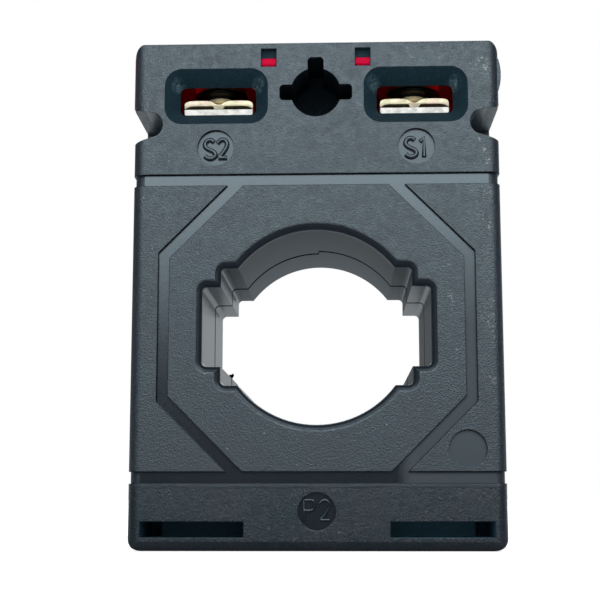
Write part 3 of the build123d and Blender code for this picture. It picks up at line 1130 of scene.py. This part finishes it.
@dataclass
class TerminalScrew:
    """Pan head screw with a cross recess, a slot and a rolled thread.

    Each recess is its sizes along x and y and its depth, in millimetres.
    """

    side: Side
    head_z: float = 84.55 * MM
    head_radius: float = 4.98 * MM
    head_height: float = 3.1 * MM
    end_z: float = 74.57 * MM
    crest: float = 2.49 * MM
    root: float = 2.10 * MM
    neck_z: float = 83.3 * MM
    pitch: float = 0.8 * MM
    lap: float = 0.3 * MM
    merge: float = 0.002 * MM
    crown: float = 1.5 * MM
    edge: float = 0.18 * MM
    recesses: tuple[Point, ...] = ((2.0, 10.4, 0.9), (6.2, 1.5, 1.9), (1.5, 6.2, 1.9))

    def build(self, finishes: Finishes) -> Object:
        """Turn the head, cut its recess, roll the thread and join them.

        Args:
            finishes: Finishes of the object.

        Returns:
            The finished screw.
        """
        head = self._head()
        neck = Bench.post("screw_neck", self.crest, self.side.axis, self.neck_z,
                          self.head_z + self.lap)
        thread = self._thread()
        for piece in (head, thread):
            Bench.dress(piece, finishes.screw)
        Bench.dress(neck, finishes.neck)
        screw = Bench.join([head, neck, thread])
        Bench.smooth(screw, 35.0)
        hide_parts(f"{self.side.prefix}_screw")
        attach(screw, f"{self.side.prefix}_screw")
        log.info("turned %s", screw.name)
        return screw

    def _head(self) -> Object:
        """Pan head with its crown rounded over and a combined slot and cross.

        Returns:
            The head.
        """
        top = self.head_z + self.head_height
        head = Bench.post(f"{self.side.prefix}_screw_turned", self.head_radius, self.side.axis,
                          self.head_z, top, 96)
        Bench.pick(head, "FACE", lambda face: face.normal.z > 0.9)
        bpy.ops.mesh.bevel(offset=self.crown, segments=8, profile=0.5)
        Bench.mode("OBJECT")
        Bench.modify(head, "BEVEL", {"width": self.edge, "segments": 3, "limit_method": "ANGLE",
                                     "angle_limit": math.radians(60.0)})
        for along_x, along_y, depth in self.recesses:
            Bench.clear()
            bpy.ops.mesh.primitive_cube_add(
                size=1.0, location=(*self.side.axis, top),
                scale=(along_x * MM, along_y * MM, 2 * depth * MM))
            Bench.cut(head, Bench.new("recess_tool"))
        return head

    def _thread(self) -> Object:
        """Rolled thread, cut square at both ends.

        Returns:
            The thread.
        """
        Bench.clear()
        bpy.ops.mesh.primitive_circle_add(vertices=3, radius=MM, fill_type="NOTHING")
        thread = Bench.new("thread")
        low = self.end_z - self.pitch
        Bench.move_points(thread, [Vector((self.root, 0.0, low)),
                                   Vector((self.crest, 0.0, low + self.pitch / 2)),
                                   Vector((self.root, 0.0, low + self.pitch))])
        points = thread.data.vertices
        Bench.pick(thread, "EDGE", lambda edge: abs(
            points[edge.vertices[0]].co.x - points[edge.vertices[1]].co.x) < 0.01 * MM)
        bpy.ops.mesh.delete(type="EDGE_FACE")
        Bench.mode("OBJECT")
        turns = math.ceil((self.head_z - low) / self.pitch) + 1
        Bench.modify(thread, "SCREW", {"axis": "Z", "angle": 2 * math.pi, "screw_offset": self.pitch,
                                       "iterations": turns, "steps": 28, "render_steps": 28,
                                       "use_merge_vertices": True, "merge_threshold": self.merge})
        Bench.take(thread)
        Bench.mode("EDIT")
        for height, keep_above in ((self.end_z, True), (self.head_z + self.lap, False)):
            bpy.ops.mesh.select_all(action="SELECT")
            bpy.ops.mesh.bisect(plane_co=(0.0, 0.0, height), plane_no=(0.0, 0.0, 1.0), use_fill=True,
                                clear_inner=keep_above, clear_outer=not keep_above)
        bpy.ops.mesh.select_all(action="SELECT")
        bpy.ops.mesh.remove_doubles(threshold=self.merge)
        bpy.ops.mesh.normals_make_consistent(inside=False)
        bpy.ops.mesh.select_all(action="SELECT")
        bpy.ops.transform.translate(value=(*self.side.axis, 0.0))
        Bench.mode("OBJECT")
        return thread


@dataclass
class Terminal:
    """Plate, nut, saddle, screw, lead and cover of one secondary terminal."""

    side: Side

    def build(self, finishes: Finishes) -> None:
        """Form the saddle and the screw and dress the rest.

        Args:
            finishes: Finishes of the object.
        """
        prefix = self.side.prefix
        SaddleClamp(self.side).build(finishes.saddle)
        TerminalScrew(self.side).build(finishes)
        wear(f"{prefix}_plate", finishes.tin)
        wear(f"{prefix}_nut", finishes.zinc)
        wear(f"{prefix}_lead", finishes.wire)
        wear(f"{prefix}_cover", finishes.cover)


@dataclass
class Studio:
    """White floor and backdrop, soft boxes and the photograph's camera."""

    image_pixels: int = 600
    focal_pixels: float = 1288.1
    sensor: float = 36.0
    tilt: Point = (-8.689, 1.9945, -0.3375)
    station: Point = (5.122 * MM, -248.242 * MM, 9.425 * MM)
    floor_size: float = 8.0
    floor_z: float = -0.05 * MM
    ambient: float = 0.45
    front_gloss: float = 0.06
    aim: Point = (0.0, 0.0, 46.0 * MM)
    lamps: tuple[tuple[str, Point, Place, float], ...] = (
        ("front_box", (0.05, -0.95, 0.60), (1.3, 0.8), 5.2),
        ("rear_box", (0.10, 0.95, 0.60), (1.0, 0.7), 3.0),
        ("top_box", (0.0, 0.45, 1.0), (0.8, 0.8), 3.0))

    def build(self) -> None:
        """Set up the camera, the surroundings, the floor and the lamps."""
        self._camera()
        self._world()
        self._floor()
        for lamp in self.lamps:
            self._lamp(*lamp)
        bpy.context.scene.view_settings.view_transform = "Standard"

    def _camera(self) -> None:
        """Place the camera where the photograph was taken from."""
        data = bpy.data.cameras.new("photo_camera")
        data.sensor_width = self.sensor
        data.lens = self.focal_pixels / self.image_pixels * self.sensor
        data.clip_start = 0.01
        camera = bpy.data.objects.new("photo_camera", data)
        bpy.context.scene.collection.objects.link(camera)
        pitch, yaw, roll = (math.radians(angle) for angle in self.tilt)
        seen = (Matrix.Rotation(roll, 3, "Z") @ Matrix.Rotation(yaw, 3, "Y")
                @ Matrix.Rotation(pitch, 3, "X"))
        to_frame = Matrix(((1, 0, 0), (0, 0, 1), (0, -1, 0)))
        flip = Matrix(((1, 0, 0), (0, -1, 0), (0, 0, -1)))
        turn = to_frame @ seen.transposed() @ flip
        camera.matrix_world = Matrix.Translation(Vector(self.station)) @ turn.to_4x4()
        bpy.context.scene.camera = camera

    def _world(self) -> None:
        """White backdrop to the eye and in gloss, calmer as a light source."""
        world = bpy.data.worlds.new("studio_world")
        graph = Graph(world, "ShaderNodeOutputWorld")
        path = graph.add("ShaderNodeLightPath")
        facing = graph.out(graph.add("ShaderNodeTexCoord"), "Generated")
        parts = graph.add("ShaderNodeSeparateXYZ", None, {0: facing})
        right = graph.out(parts, 0).fade(-0.03, 0.03)
        backdrop = graph.out(parts, 1).fade(0.45, 0.80) * (0.15 + right * 0.60)
        gloss = graph.out(path, "Is Glossy Ray").larger(graph.out(path, "Is Transmission Ray"))
        seen = graph.out(path, "Is Camera Ray")
        mirrored = self.front_gloss + backdrop * (1 - self.front_gloss)
        indirect = gloss * mirrored + (1 - gloss) * self.ambient
        level = seen + (1 - seen) * indirect
        shader = graph.add("ShaderNodeBackground", None, {"Color": WHITE, "Strength": level})
        bpy.context.scene.world = graph.close(graph.out(shader))

    def _floor(self) -> None:
        """White floor that keeps the shadow of the object and meets the backdrop unseen."""
        Bench.clear()
        bpy.ops.mesh.primitive_plane_add(size=self.floor_size, location=(0.0, 0.0, self.floor_z))
        floor = Bench.new("floor")
        graph = Graph.material("floor_white")
        path = graph.add("ShaderNodeLightPath")
        _, x, y, _ = graph.place()
        away = x.reach(y).fade(0.10, 0.80)
        straight = graph.out(path, "Is Camera Ray")
        gloss = graph.out(path, "Is Glossy Ray")
        behind = straight.larger(y.fade(-0.03, 0.06))
        glow = (0.72 + away * 0.28) * behind * (1 - gloss * 0.80)
        lift = graph.out(graph.add("ShaderNodeEmission", None, {"Color": WHITE, "Strength": glow}))
        tone = graph.blend(gloss * (1 - behind * 0.6), (0.80, 0.80, 0.80), (0.05, 0.05, 0.05))
        matt = graph.out(graph.add("ShaderNodeBsdfDiffuse", None, {"Color": tone}))
        both = graph.out(graph.add("ShaderNodeAddShader", None, {0: lift, 1: matt}))
        seen = straight.larger(gloss).larger(graph.out(path, "Is Transmission Ray"))
        choice = graph.out(graph.add("ShaderNodeMixShader", None, {0: seen, 1: matt, 2: both}))
        floor.data.materials.append(graph.close(choice))

    def _lamp(self, name: str, place: Point, size: Place, power: float) -> None:
        """Add one soft box aimed at the middle of the case.

        Args:
            name: Name of the lamp.
            place: Middle of the lamp.
            size: Width and height.
            power: Power in watts.
        """
        data = bpy.data.lights.new(name, "AREA")
        data.shape = "RECTANGLE"
        data.size, data.size_y = size
        data.energy = power
        lamp = bpy.data.objects.new(name, data)
        lamp.location = place
        way = Vector(self.aim) - lamp.location
        lamp.rotation_euler = way.to_track_quat("-Z", "Y").to_euler()
        bpy.context.scene.collection.objects.link(lamp)


def main() -> None:
    """Build every sub-assembly in order."""
    logging.basicConfig(level=logging.INFO, format="%(message)s")
    finishes = Finishes()
    CaseHalves().build(finishes)
    RingPack().build(finishes)
    for side in Side:
        Terminal(side).build(finishes)
    Studio().build()


if __name__ == "__main__":
    main()
